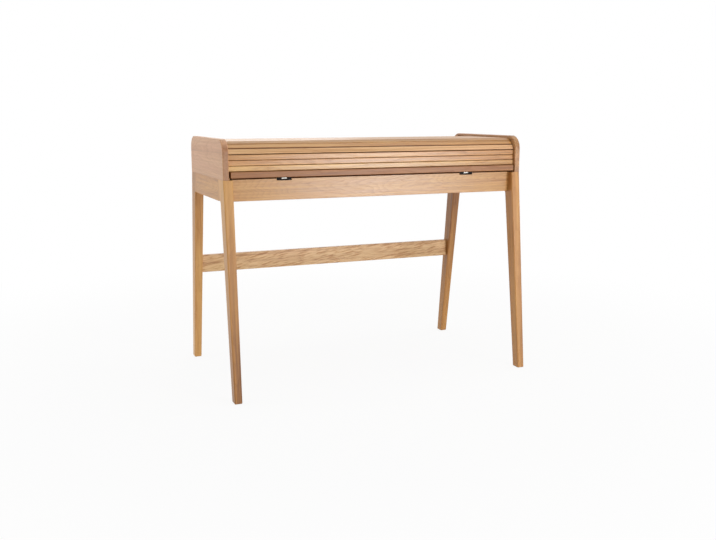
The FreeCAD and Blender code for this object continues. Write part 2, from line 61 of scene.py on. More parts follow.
# ------------------------------------------------------------------ shader expressions
class Field:
    """A number that varies over a surface; arithmetic on it adds Math nodes."""

    def __init__(self, graph: "Graph", socket: Optional[bpy.types.NodeSocket]) -> None:
        """Wrap an output socket.

        Args:
            graph: the node tree that the socket belongs to.
            socket: the output socket, which a tree's last node doesn't have.
        """
        self.graph = graph
        self.socket = socket

    def math(self, operation: str, *others: Number) -> "Field":
        """This number, then the others, through one Math node."""
        return self.graph.math(operation, self, *others)

    def __add__(self, other: Number) -> "Field":
        """This number plus the other."""
        return self.math("ADD", other)

    def __radd__(self, other: Number) -> "Field":
        """The other number plus this."""
        return self.graph.math("ADD", other, self)

    def __sub__(self, other: Number) -> "Field":
        """This number minus the other."""
        return self.math("SUBTRACT", other)

    def __rsub__(self, other: Number) -> "Field":
        """The other number minus this."""
        return self.graph.math("SUBTRACT", other, self)

    def __mul__(self, other: Number) -> "Field":
        """This number times the other."""
        return self.math("MULTIPLY", other)

    def __rmul__(self, other: Number) -> "Field":
        """The other number times this."""
        return self.graph.math("MULTIPLY", other, self)

    def __truediv__(self, other: Number) -> "Field":
        """This number divided by the other."""
        return self.math("DIVIDE", other)

    def __pow__(self, other: Number) -> "Field":
        """This number to the other's power."""
        return self.math("POWER", other)

    def __abs__(self) -> "Field":
        """This number without its sign."""
        return self.math("ABSOLUTE")

    def step(self, low: float, high: float) -> "Field":
        """A smooth step over this number.

        Args:
            low: where the result leaves 0; it may be above high, for a falling step.
            high: where the result reaches 1.

        Returns:
            0 up to low, 1 from high on, and an S curve between.
        """
        rising = low < high
        lowest, highest = (low, high) if rising else (high, low)
        ends = (0.0, 1.0) if rising else (1.0, 0.0)
        return self.graph.node(
            "ShaderNodeMapRange", {"interpolation_type": "SMOOTHSTEP"},
            {"Value": self, "From Min": lowest, "From Max": highest,
             "To Min": ends[0], "To Max": ends[1]}, "Result")


@dataclass(frozen=True)
class Relief:
    """How deep a surface's relief is.

    Attributes:
        depth: how far it goes from 0 to 1, in metres.
        strength: how much of it shows, 0 to 1.
    """

    depth: float
    strength: float


class Graph:
    """A material's or a world's node tree, with one method that adds any node."""

    def __init__(self, owner: Union[bpy.types.Material, bpy.types.World]) -> None:
        """Empty the owner's tree and keep it.

        Args:
            owner: the material or world whose nodes are built.
        """
        owner.use_nodes = True
        self.tree = owner.node_tree
        self.tree.nodes.clear()

    def node(self, kind: str, settings: dict[str, Any],
             inputs: dict[Union[str, int], Any], output: Union[str, int] = 0) -> Field:
        """Add one node.

        Args:
            kind: the node's type.
            settings: its properties, set first; "stops" holds a ramp's (place, colour)
                pairs.
            inputs: a value or a Field for each named or numbered socket.
            output: the name or number of the socket that is wanted.

        Returns:
            The wanted output.
        """
        made = self.tree.nodes.new(kind)
        for key, value in settings.items():
            if key == "stops":
                self._set_stops(made.color_ramp, value)
            else:
                setattr(made, key, value)
        for key, value in inputs.items():
            self._feed(made.inputs[key], value)
        return Field(self, made.outputs[output] if len(made.outputs) else None)

    @staticmethod
    def _set_stops(ramp: bpy.types.ColorRamp,
                   stops: Sequence[tuple[float, Colour]]) -> None:
        """Give a ramp its stops.

        Args:
            ramp: the ramp, which starts with two stops.
            stops: (place, colour) pairs from 0 to 1.
        """
        while len(ramp.elements) < len(stops):
            ramp.elements.new(0.5)
        for element, (place, colour) in zip(ramp.elements, stops):
            element.position = place
            element.color = (*colour, 1.0)

    def _feed(self, socket: bpy.types.NodeSocket, value: Any) -> None:
        """Link or set one input socket.

        Args:
            socket: the input.
            value: a Field to link, or a number, a colour or a vector to set.
        """
        if isinstance(value, Field):
            self.tree.links.new(value.socket, socket)
        elif socket.type == "RGBA" and len(value) == 3:
            socket.default_value = (*value, 1.0)
        else:
            socket.default_value = value

    def math(self, operation: str, *values: Number) -> Field:
        """One Math node on numbers, in their order."""
        return self.node("ShaderNodeMath", {"operation": operation},
                         dict(enumerate(values)))

    def mix(self, share: Number, first: Any, second: Any, blend: str = "MIX") -> Field:
        """Two colours mixed; share says how much of the second there is, 0 to 1."""
        return self.node("ShaderNodeMix", {"data_type": "RGBA", "blend_type": blend},
                         {0: share, 6: first, 7: second}, 2)

    def multiply(self, first: Any, second: Any) -> Field:
        """One colour multiplied by another, channel by channel."""
        return self.mix(1.0, first, second, "MULTIPLY")

    def spot(self) -> Field:
        """The place on the surface, in the desk's own metres."""
        return self.node("ShaderNodeTexCoord", {}, {}, "Object")

    def vector(self, operation: str, first: Any, second: Any, output: int = 0) -> Field:
        """One Vector Math node on two vectors; output 1 is its number."""
        return self.node("ShaderNodeVectorMath", {"operation": operation},
                         {0: first, 1: second}, output)

    def grains(self, place: Field, cells: Triple, detail: float = 2.0,
               twist: float = 0.0) -> Field:
        """Noise stretched along a direction.

        Args:
            place: the vector that the noise is read at.
            cells: how many cells there are to a metre along each axis.
            detail: the noise's octaves.
            twist: the noise's distortion.

        Returns:
            A number about 0.5, from 0 to 1.
        """
        spread = self.vector("MULTIPLY", place, cells)
        return self.node("ShaderNodeTexNoise", {},
                         {"Vector": spread, "Scale": 1.0, "Detail": detail,
                          "Roughness": OCTAVE_STRENGTH, "Distortion": twist})

    def parts(self, vector: Field) -> tuple[Field, Field, Field]:
        """The three numbers of a vector.

        Args:
            vector: the vector.

        Returns:
            Its numbers along X, Y and Z.
        """
        split = self.node("ShaderNodeSeparateXYZ", {}, {0: vector})
        return tuple(Field(self, output) for output in split.socket.node.outputs)

    def surface(self, values: dict[str, Any], height: Field, relief: Relief) -> None:
        """End the tree in a Principled surface with a relief.

        Args:
            values: the values or links of its sockets.
            height: the relief's height, about 0 to 1.
            relief: how deep that is.
        """
        bump = self.node("ShaderNodeBump", {}, {
            "Strength": relief.strength, "Distance": relief.depth, "Height": height})
        shader = self.node("ShaderNodeBsdfPrincipled", {}, {**values, "Normal": bump})
        self.node("ShaderNodeOutputMaterial", {}, {"Surface": shader})


# ------------------------------------------------------------------ finishes
class Grain(Enum):
    """The direction of a board's grain, as the turn (degrees) that lays it along X."""

    ACROSS = (0.0, 0.0, 0.0)
    FRONT_TO_BACK = (0.0, 0.0, -90.0)
    FRONT_LEG = (5.947, 90.0, 0.0)
    REAR_LEG = (-7.517, 90.0, 0.0)

    def turn(self) -> Euler:
        """The turn from the desk's axes to the board's: along, across and through."""
        return Euler([math.radians(angle) for angle in self.value])

    def direction(self) -> Triple:
        """The grain's direction as a unit vector of the desk."""
        return tuple(self.turn().to_matrix().inverted() @ Vector((1.0, 0.0, 0.0)))


@dataclass(frozen=True)
class Flecks:
    """Short slanting strokes on a board, where its rays and wavy fibres were cut through.

    Attributes:
        strength: how brown they are, 0 to 1.
        rise: how steeply they rise off the grain, in degrees.
        cells: how many there are to a metre along, across and through.
        fade: where along the board they start and are full, in metres from its middle.
        groups: how many clusters of them there are to a metre, likewise.
        stroke_edges, group_edges: the noise from which a fleck and a cluster set in, and
            from which they are full.
        detail, twist: the octaves and the distortion of the flecks' noise.
    """

    strength: float
    rise: float = 12.0
    cells: Triple = (15.0, 30.0, 125.0)
    fade: tuple[float, float] = (-3.0, -2.0)
    groups: Triple = (4.5, 18.0, 18.0)
    stroke_edges: tuple[float, float] = (0.47, 0.63)
    group_edges: tuple[float, float] = (0.26, 0.48)
    detail: float = 2.5
    twist: float = 0.4


@dataclass(frozen=True)
class Cut:
    """How one board was sawn and how it came out.

    Attributes:
        grain: the direction of its grain.
        seed: which part of the log it is from.
        tone: lighter above 0, darker below.
        blush: pinker above 0, yellower below.
        drift: how much lighter it gets for each metre along the grain.
        tilt: slope of the board against the pith, which makes the long arches.
        pith: how far the log's middle is from the board's, across and through it, in
            metres.
        waves: how far the rings wander, in metres.
        figure: how strong its streaks and rings are.
        face: the way its face looks; its long edges, which turn away from it, get a
            painted shade for the gaps between slats.
        recess_shade: how dark that painted shade is, 0 to 1.
        ends: how dark its end grain is, 0 to 1.
        flecks: its slanting strokes, where it has them.
    """

    grain: Grain
    seed: int = 0
    tone: float = 0.0
    blush: float = 0.0
    drift: float = 0.0
    tilt: float = 0.03
    pith: tuple[float, float] = (0.06, 0.012)
    waves: float = 0.030
    figure: float = 1.0
    face: Optional[Triple] = None
    recess_shade: float = 1.0
    ends: float = 1.0
    flecks: Optional[Flecks] = None


@dataclass(frozen=True)
class WoodFinish:
    """Satin-lacquered wood with year rings, pores, fibres and streaks.

    Attributes:
        name: the finish's name.
        dark, middle, light: its colours from the year rings to the summer wood.
        blush_tint, straw_tint: what a pink and a yellow board is multiplied by.
        fleck_tint: what a fleck is multiplied by.
        ring_pitch: the mean width of a year ring, in metres.
        ring_depth: how much darker the early wood is.
        faint_year: how dark it is in the faintest year, as a share of the darkest.
        early_rise: the share of a year in which the early wood sets in.
        early_fade: the power with which it fades over the rest of the year.
        pore_depth: how much darker the pores are.
        pore_edges: the noise from which a pore sets in and from which it is full.
        late_pores: how much of them is left outside the early wood.
        streak_depth, band_depth: how strong the narrow and the wide streaks are.
        roughness: the lacquer's roughness.
        pore_dulling, streak_dulling: how much rougher it is in pores and light streaks.
        level: how high the lacquer lies, from 0 to 1.
        pore_sink, early_sink: how much lower it lies in pores and in the early wood.
        fibre_rise: how much higher it lies on light fibres.
        relief: how deep all that is.
        sheen_coat: the weight of the clear coat.
        coat_roughness: the clear coat's roughness.
        mean_shade: how light the wood is without its figure, from dark, 0, to light, 1.
        fibre_depth: how strong the finest streaks are.
        end_tint, recess_shade_tint: what end grain is multiplied by, and what a slat's
            long edges are multiplied by as a painted shade for the gaps between slats.
        end_edges, recess_shade_edges: the cosines of the angle to the grain, or to the
            way the slat's face looks, at which they set in and are full.
        pore_cells, streak_cells, band_cells, fibre_cells: how many pores, narrow streaks,
            wide streaks and fibres there are to a metre, along, across and through.
        wander_cells, ripple_cells: the same of the slow and the quick waves of the rings.
        ripple: how far the quick waves go, in metres.
        tint_cells: the same of the pink and yellow waves.
        tint_swing: how strong those waves are.
    """

    name: str = "oak"
    dark: Colour = (0.240, 0.098, 0.033)
    middle: Colour = (0.505, 0.265, 0.112)
    light: Colour = (0.740, 0.480, 0.260)
    blush_tint: Colour = (1.04, 0.95, 0.97)
    straw_tint: Colour = (0.99, 1.03, 0.88)
    fleck_tint: Colour = (0.65, 0.47, 0.24)
    ring_pitch: float = 0.0042
    ring_depth: float = 0.24
    faint_year: float = 0.35
    early_rise: float = 0.12
    early_fade: float = 2.2
    pore_depth: float = 0.30
    pore_edges: tuple[float, float] = (0.56, 0.70)
    late_pores: float = 0.25
    streak_depth: float = 1.10
    band_depth: float = 0.70
    roughness: float = 0.40
    pore_dulling: float = 0.25
    streak_dulling: float = 0.16
    level: float = 0.8
    pore_sink: float = 0.6
    early_sink: float = 0.22
    fibre_rise: float = 0.35
    relief: Relief = Relief(0.0004, 0.35)
    sheen_coat: float = 0.15
    coat_roughness: float = 0.28
    mean_shade: float = 0.58
    fibre_depth: float = 0.30
    end_tint: Colour = (0.66, 0.61, 0.60)
    recess_shade_tint: Colour = (0.40, 0.29, 0.20)
    end_edges: tuple[float, float] = (0.62, 0.95)
    recess_shade_edges: tuple[float, float] = (0.92, 0.45)
    pore_cells: Triple = (120.0, 3200.0, 3200.0)
    streak_cells: Triple = (4.0, 170.0, 170.0)
    band_cells: Triple = (1.1, 36.0, 36.0)
    fibre_cells: Triple = (16.0, 900.0, 900.0)
    wander_cells: Triple = (3.0, 14.0, 14.0)
    ripple_cells: Triple = (14.0, 70.0, 70.0)
    ripple: float = 0.004
    tint_cells: Triple = (1.7, 24.0, 24.0)
    tint_swing: float = 0.9

    def material(self, name: str, cut: Cut) -> bpy.types.Material:
        """The finish on one board, named as the board's node is.

        The log is a set of nested wavy tubes about its pith: the distance from the pith,
        plus slow noise, divided by the ring pitch, counts the years. The early wood is a
        dark line at the start of each year that fades through it; the pores are short
        dashes in it.

        Args:
            name: the board's node.
            cut: how the board was sawn.

        Returns:
            The material.
        """
        board = SawnBoard(self, name, cut)
        graph = board.graph
        early, year = board.rings()
        pores = board.noise(self.pore_cells, detail=1.0).step(*self.pore_edges)
        pores = pores * (self.late_pores + (1.0 - self.late_pores) * early)
        streaks = board.swing(self.streak_cells, detail=3.0)
        bands = board.swing(self.band_cells)
        fibres = board.swing(self.fibre_cells)
        year_depth = self.faint_year + (1.0 - self.faint_year) * year
        figure = (streaks * self.streak_depth + bands * self.band_depth
                  - early * year_depth * self.ring_depth)
        shade = (self.mean_shade + cut.tone + figure * cut.figure
                 + fibres * self.fibre_depth - pores * self.pore_depth)
        if cut.drift:
            shade = shade + (graph.parts(board.place)[0] - board.start[0]) * cut.drift
        colour = graph.node("ShaderNodeValToRGB", {"stops": [
            (0.0, self.dark), (0.5, self.middle), (1.0, self.light)]}, {0: shade})
        if cut.flecks:
            brown = graph.multiply(colour, self.fleck_tint)
            colour = graph.mix(board.strokes(cut.flecks), colour, brown)
        colour = board.end_grain_and_recess_shade(board.tinted(colour))
        # The lacquer sinks into pores and soft early wood: duller and lower there.
        rough = self.roughness + pores * self.pore_dulling + streaks * self.streak_dulling
        height = (self.level - pores * self.pore_sink - early * self.early_sink
                  + fibres * self.fibre_rise)
        graph.surface({"Base Color": colour, "Roughness": rough,
                       "Coat Weight": self.sheen_coat,
                       "Coat Roughness": self.coat_roughness}, height, self.relief)
        return board.made


class SawnBoard:
    """One board's wood in nodes, read at the board's place in its log.

    Attributes:
        finish: the wood and its lacquer.
        cut: how the board was sawn.
        made: the board's material.
        graph: the material's tree.
        start: where the board's middle lies in the log, in metres; seeds differ in it.
        place: the place along, across and through the grain, counted from start.
    """

    def __init__(self, finish: WoodFinish, name: str, cut: Cut) -> None:
        """Start the board's material and lay the board into its log.

        Args:
            finish: the wood and its lacquer.
            name: the board's node.
            cut: how the board was sawn.
        """
        self.finish = finish
        self.cut = cut
        self.made = bpy.data.materials.new(f"{finish.name}_{name}")
        self.graph = Graph(self.made)
        self.start = tuple(step * (cut.seed % places) for step, places in SEED_LATTICE)
        spot = self.graph.spot()
        low, high = (Vector(corner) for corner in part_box(name))
        middle = cut.grain.turn().to_matrix() @ ((low + high) / 2)
        self.place = self.graph.node("ShaderNodeMapping", {"vector_type": "POINT"},
                                     {"Vector": spot, "Rotation": cut.grain.turn(),
                                      "Location": Vector(self.start) - middle})

    def noise(self, cells: Triple, detail: float = 2.0) -> Field:
        """Noise in the board, with so many cells to a metre along, across and through."""
        return self.graph.grains(self.place, cells, detail)

    def swing(self, cells: Triple, detail: float = 2.0) -> Field:
        """The same noise, about 0 instead of 0.5."""
        return self.noise(cells, detail) - 0.5

    def rings(self) -> tuple[Field, Field]:
        """The year rings.

        Returns:
            The early wood, 0 to 1, and a number for each year, 0 to 1.
        """
        along, across, through = self.graph.parts(self.place)
        wander = self.swing(self.finish.wander_cells)
        ripple = self.swing(self.finish.ripple_cells)
        sideways = (across - (self.start[1] + self.cut.pith[0])
                    + (along - self.start[0]) * self.cut.tilt)
        inwards = through - (self.start[2] + self.cut.pith[1])
        distance = (sideways * sideways + inwards * inwards).math("SQRT")
        years = (distance + wander * self.cut.waves
                 + ripple * self.finish.ripple) / self.finish.ring_pitch
        part = years.math("FRACT")
        early = part.step(0.0, self.finish.early_rise)
        early = early * (1.0 - part) ** self.finish.early_fade
        year = self.graph.node("ShaderNodeTexWhiteNoise", {"noise_dimensions": "1D"},
                               {"W": years.math("FLOOR")}, "Value")
        return early, year

    def strokes(self, flecks: Flecks) -> Field:
        """The flecks: noise stretched along a line that rises off the grain.

        Args:
            flecks: what they are like.

        Returns:
            0 between flecks, up to their strength in them.
        """
        along, across, through = self.graph.parts(self.place)
        angle = math.radians(flecks.rise)
        rise, run = math.sin(angle), math.cos(angle)
        slanted = self.graph.node("ShaderNodeCombineXYZ", {}, {
            0: along * run + through * rise, 1: across, 2: through * run - along * rise})
        strokes = self.graph.grains(slanted, flecks.cells, flecks.detail, flecks.twist)
        strokes = strokes.step(*flecks.stroke_edges)
        groups = self.noise(flecks.groups, detail=1.0).step(*flecks.group_edges)
        full = along.step(*(self.start[0] + edge for edge in flecks.fade))
        return strokes * groups * full * flecks.strength

    def tinted(self, colour: Field) -> Field:
        """Turn a colour a little pink or yellow, by the board and in slow waves.

        Args:
            colour: the colour so far.

        Returns:
            The tinted colour.
        """
        waves = self.swing(self.finish.tint_cells, detail=1.0)
        share = 0.5 + self.cut.blush + waves * self.finish.tint_swing
        share = share.math("MAXIMUM", 0.0).math("MINIMUM", 1.0)
        tint = self.graph.mix(share, self.finish.straw_tint, self.finish.blush_tint)
        return self.graph.multiply(colour, tint)

    def end_grain_and_recess_shade(self, colour: Field) -> Field:
        """Darken the faces that the grain runs into, and paint shade on the edges beside
        a slat's face, for the gaps between slats.

        Args:
            colour: the colour so far.

        Returns:
            The colour: darker and greyer on the ends, browner on those edges as painted
                shade.
        """
        facing = self.graph.node("ShaderNodeTexCoord", {}, {}, "Normal")
        end = abs(self.graph.vector("DOT_PRODUCT", facing, self.cut.grain.direction(), 1))
        grey = self.graph.multiply(colour, self.finish.end_tint)
        share = end.step(*self.finish.end_edges) * self.cut.ends
        colour = self.graph.mix(share, colour, grey)
        if self.cut.face is None:
            return colour
        # Edges that turn away from a slat's face get a painted shade for the gaps between
        # slats.
        recess_shade = self.graph.vector("DOT_PRODUCT", facing, self.cut.face, 1)
        share = recess_shade.step(*self.finish.recess_shade_edges) * self.cut.recess_shade
        brown = self.graph.multiply(colour, self.finish.recess_shade_tint)
        return self.graph.mix(share, colour, brown)


OAK = WoodFinish()
FRONT_OAK = WoodFinish("front_oak", (0.226, 0.087, 0.020), (0.480, 0.234, 0.066),
                       (0.704, 0.424, 0.158), roughness=0.30)
LEG_OAK = WoodFinish("leg_oak", (0.200, 0.074, 0.015), (0.450, 0.205, 0.050),
                     (0.640, 0.355, 0.118), ring_depth=0.20, roughness=0.42)
LIPPING_OAK = WoodFinish("lipping_oak", (0.105, 0.036, 0.010), (0.272, 0.102, 0.026),
                         (0.420, 0.178, 0.055), (1.02, 0.97, 0.98), (1.0, 1.02, 0.94),
                         ring_depth=0.26, roughness=0.42, sheen_coat=0.0)
BEECH = WoodFinish("beech", (0.40, 0.25, 0.14), (0.60, 0.42, 0.26), (0.70, 0.52, 0.34),
                   ring_pitch=0.0026, ring_depth=0.10, pore_depth=0.14, streak_depth=0.4,
                   band_depth=0.3, roughness=0.62, sheen_coat=0.0)


@dataclass(frozen=True)
class ZincFinish:
    """Zinc-plated sheet steel: soft spangles and fine lines from rolling.

    Attributes:
        bright, dull: the colours of the brightest and dullest spangles.
        spangles: how many spangles there are to a metre.
        line_cells: how many rolling lines there are to a metre along each axis.
        spangle_share: how much of the colour the spangles make; the lines make the rest.
        roughness: the roughness of the dullest spangles.
        line_roughness, spangle_roughness: how much lines and bright spangles add to it.
        relief: how deep the lines are.
    """

    bright: Colour = (0.66, 0.67, 0.68)
    dull: Colour = (0.50, 0.51, 0.53)
    spangles: float = 260.0
    line_cells: Triple = (1500.0, 30.0, 1500.0)
    spangle_share: float = 0.6
    roughness: float = 0.24
    line_roughness: float = 0.14
    spangle_roughness: float = 0.08
    relief: Relief = Relief(0.00005, 0.25)

    def material(self, name: str) -> bpy.types.Material:
        """The plated surface; its lines run front to back.

        Args:
            name: the material's name.

        Returns:
            The material.
        """
        made = bpy.data.materials.new(name)
        graph = Graph(made)
        place = graph.spot()
        lines = graph.grains(place, self.line_cells, detail=3.0)
        spangle = graph.node("ShaderNodeTexVoronoi", {},
                             {"Vector": place, "Scale": self.spangles}, "Color")
        cell = graph.parts(spangle)[0]
        share = cell * self.spangle_share + lines * (1.0 - self.spangle_share)
        rough = (self.roughness + lines * self.line_roughness
                 + cell * self.spangle_roughness)
        graph.surface({"Base Color": graph.mix(share, self.dull, self.bright),
                       "Metallic": 1.0, "Roughness": rough}, lines, self.relief)
        return made


@dataclass(frozen=True)
class MouldedFinish:
    """Moulded plastic with a faint spark-eroded texture.

    Attributes:
        colour, worn: its colour and that of its rubbed spots.
        roughness: its least roughness.
        gloss: how much it reflects, where 0.5 is usual.
        texture, rubs: how many dimples and rubbed spots there are to a metre.
        rub_edges: the noise from which a rubbed spot sets in and from which it is full.
        rub_roughness, dimple_roughness: how much rubs and dimples add to the roughness.
        relief: how deep the dimples are.
    """

    colour: Colour = (0.007, 0.005, 0.004)
    worn: Colour = (0.016, 0.013, 0.011)
    roughness: float = 0.55
    gloss: float = 0.15
    texture: float = 2400.0
    rubs: float = 180.0
    rub_edges: tuple[float, float] = (0.5, 0.72)
    rub_roughness: float = 0.15
    dimple_roughness: float = 0.08
    relief: Relief = Relief(0.00008, 0.4)

    def material(self, name: str) -> bpy.types.Material:
        """The moulded surface.

        Args:
            name: the material's name.

        Returns:
            The material.
        """
        made = bpy.data.materials.new(name)
        graph = Graph(made)
        place = graph.spot()
        dimples = graph.grains(place, (self.texture,) * 3)
        rubbed = graph.grains(place, (self.rubs,) * 3, detail=3.0).step(*self.rub_edges)
        rough = (self.roughness + rubbed * self.rub_roughness
                 + dimples * self.dimple_roughness)
        graph.surface({"Base Color": graph.mix(rubbed, self.colour, self.worn),
                       "Roughness": rough, "Specular IOR Level": self.gloss},
                      dimples, self.relief)
        return made


@dataclass(frozen=True)
class CanvasFinish:
    """The woven backing of the shutter, in plain weave.

    Attributes:
        pitch: the distance from thread to thread, in metres.
        yarn, recess_shade: the colours of the threads and of the dips between them; the
        dips' darker colour is a painted shade.
        slub_cells: how many thick places there are to a metre along each axis.
        slub_share: how much of the relief those make; the threads make the rest.
        roughness: the cloth's roughness.
        slub_shine: how much smoother the thick places are.
        relief: how deep the weave is.
    """

    pitch: float = 0.0009
    yarn: Colour = (0.36, 0.30, 0.22)
    recess_shade: Colour = (0.16, 0.125, 0.09)
    slub_cells: Triple = (900.0, 40.0, 40.0)
    slub_share: float = 0.25
    roughness: float = 0.95
    slub_shine: float = 0.1
    relief: Relief = Relief(0.0002, 0.6)

    def material(self, name: str) -> bpy.types.Material:
        """The weave: each thread is a row of humps, |sin| along it by |sin| across it.

        The threads across the desk pass over where the others pass under, so one set's
        humps are shifted by a thread from row to row.

        Args:
            name: the material's name.

        Returns:
            The material.
        """
        made = bpy.data.materials.new(name)
        graph = Graph(made)
        place = graph.spot()
        x, y, z = graph.parts(place)
        turn = math.pi / self.pitch
        warp, weft = x * turn, (y - z) * turn
        over = warp.math("SINE") * weft.math("SINE")
        humps = abs(over.math("SIGN") * 0.5 + 0.5)
        rows = abs(weft.math("COSINE")) * humps + abs(warp.math("COSINE")) * (1.0 - humps)
        slubs = graph.grains(place, self.slub_cells)
        thread = rows * (1.0 - self.slub_share) + slubs * self.slub_share
        # The colour follows the weave's height, darker the lower it lies: painted shade
        # in the dips.
        graph.surface({"Base Color": graph.mix(thread, self.recess_shade, self.yarn),
                       "Roughness": self.roughness - slubs * self.slub_shine},
                      thread, self.relief)
        return made


ZINC = ZincFinish()
DULL_ZINC = ZincFinish((0.28, 0.27, 0.25), (0.20, 0.19, 0.175))
BLACK_PLASTIC = MouldedFinish()
# Dark brown plastic for the strips on the apron: it paints the shade in the gap under the
# worktop.
GAP_SHADE_PLASTIC = MouldedFinish((0.050, 0.017, 0.005), (0.075, 0.028, 0.009), 0.75, 0.08)
NYLON = MouldedFinish((0.10, 0.085, 0.075), (0.16, 0.14, 0.12), 0.45)


# ------------------------------------------------------------------ pieces
def dress(node: str, material: bpy.types.Material) -> bpy.types.Object:
    """Give a piece of the frame its finish.

    Args:
        node: the piece's name.
        material: the finish.

    Returns:
        The piece.
    """
    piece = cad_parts[node]
    if not piece.material_slots:
        piece.data.materials.append(material)
    for slot in piece.material_slots:
        slot.material = material
    LOG.info("%s is finished in %s", node, material.name)
    return piece


@dataclass(frozen=True)
class Sanding:
    """What sandpaper does to a board's edges.

    Attributes:
        width: how much is taken off an edge, in metres.
        facets: how many facets the softened edge has.
        sharpest: edges that turn by less than this, in degrees, are left alone.
        joined: corners nearer than this, in metres, are one corner.
    """

    width: float = 0.0005
    facets: int = 2
    sharpest: float = 40.0
    joined: float = 0.00001

    def soften(self, piece: bpy.types.Object) -> None:
        """Join a piece's loose facets, then take the sharpness off its edges.

        Args:
            piece: the piece.
        """
        weld = piece.modifiers.new("joined_facets", "WELD")
        weld.merge_threshold = self.joined
        bevel = piece.modifiers.new("sanded_edges", "BEVEL")
        bevel.width = self.width
        bevel.segments = self.facets
        bevel.limit_method = "ANGLE"
        bevel.angle_limit = math.radians(self.sharpest)
        bevel.use_clamp_overlap = False
        bevel.harden_normals = False


def new_piece(name: str, points: np.ndarray, faces: Sequence[Sequence[int]],
              material: bpy.types.Material, body: str, slot: str) -> bpy.types.Object:
    """Make a piece from points and faces and hang it on a body.

    Args:
        name: the piece's name.
        points: its corners, one row each, in metres.
        faces: the corners of each face, seen from outside anticlockwise.
        material: its finish.
        body: the body that it moves with.
        slot: the record's slot for its finish; not used.

    Returns:
        The piece.
    """
    mesh = bpy.data.meshes.new(name)
    mesh.from_pydata(points.tolist(), [], [list(face) for face in faces])
    mesh.update()
    mesh.materials.append(material)
    piece = bpy.data.objects.new(name, mesh)
    bpy.context.scene.collection.objects.link(piece)
    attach(piece, body)
    LOG.info("%s is made and moves with %s", name, body)
    return piece


def grid_faces(rows: int, columns: int) -> np.ndarray:
    """The quads of a grid whose columns close into a ring, rows counted outwards.

    Args:
        rows: how many rings of points there are.
        columns: how many points there are on a ring.

    Returns:
        Four corners to a row.
    """
    row, column = np.meshgrid(np.arange(rows - 1), np.arange(columns), indexing="ij")
    after = (column + 1) % columns
    corners = np.stack([row * columns + column, (row + 1) * columns + column,
                        (row + 1) * columns + after, row * columns + after], axis=-1)
    return corners.reshape(-1, 4)


@dataclass(frozen=True)
class PanHeadScrew:
    """A pan-head screw with a cross recess, of which only the head shows.

    Attributes:
        radius, height: of the head, in metres.
        recess_width, recess_reach, recess_depth: of the cross.
        hub: where the innermost ring is, as a share of the radius.
        dome: how far the rim lies below the middle, as a share of the height.
        wall: how much of the cross's half width its sloping walls take.
        run_out: over what share of the radius the ends of the cross run out.
        rings, columns: how many rings of points there are, and points on a ring.
    """

    radius: float = 0.0035
    height: float = 0.0016
    recess_width: float = 0.00055
    recess_reach: float = 0.0021
    recess_depth: float = 0.0009
    hub: float = 0.02
    dome: float = 0.35
    wall: float = 0.4
    run_out: float = 0.12
    rings: int = 14
    columns: int = 48

    def points(self, seat: Triple, up: float) -> np.ndarray:
        """The head as a height over a disc of points.

        The height falls from the middle to the rim as 1 - dome r^4, and drops to the seat
        at the last ring. The cross is cut where |x| or |y| is less than its half width,
        inside its reach.

        Args:
            seat: the middle of the head's seat.
            up: 1 for a head above its seat, -1 for one below it.

        Returns:
            The points, ring by ring from the middle.
        """
        share = np.concatenate([np.linspace(self.hub, 1.0, self.rings), [1.0]])[:, None]
        angle = np.linspace(0.0, 2.0 * math.pi, self.columns, endpoint=False)[None, :]
        x, y = share * np.cos(angle), share * np.sin(angle)
        tall = self.height * (1.0 - self.dome * share ** 4) * np.ones_like(angle)
        half, reach = self.recess_width / self.radius, self.recess_reach / self.radius
        arm = np.minimum(np.abs(x), np.abs(y))
        inside = np.clip((half - arm) / (self.wall * half), 0.0, 1.0)
        inside *= np.clip((reach - share) / self.run_out, 0.0, 1.0)
        tall = tall - self.recess_depth * inside
        tall[-1] = 0.0
        rings = np.stack([seat[0] + self.radius * x, seat[1] + self.radius * y * up,
                          seat[2] + up * tall], axis=-1)
        return rings.reshape(-1, 3)

    def build(self, name: str, seats: Sequence[Triple], up: float,
              material: bpy.types.Material, body: str) -> bpy.types.Object:
        """Several heads as one piece.

        Args:
            name: the piece's name.
            seats: the middle of each seat.
            up: 1 for heads above their seats, -1 for heads below them.
            material: their finish.
            body: the body that they move with.

        Returns:
            The piece.
        """
        points, faces = [], []
        ring = np.arange(self.columns)
        for index, seat in enumerate(seats):
            head = self.points(seat, up)
            start = index * len(head)
            points.append(head)
            faces += (grid_faces(self.rings + 1, self.columns) + start).tolist()
            faces.append((ring + start).tolist())
            faces.append((ring[::-1] + start + self.rings * self.columns).tolist())
        return new_piece(name, np.concatenate(points), faces, material, body,
                         "zinc_steel")


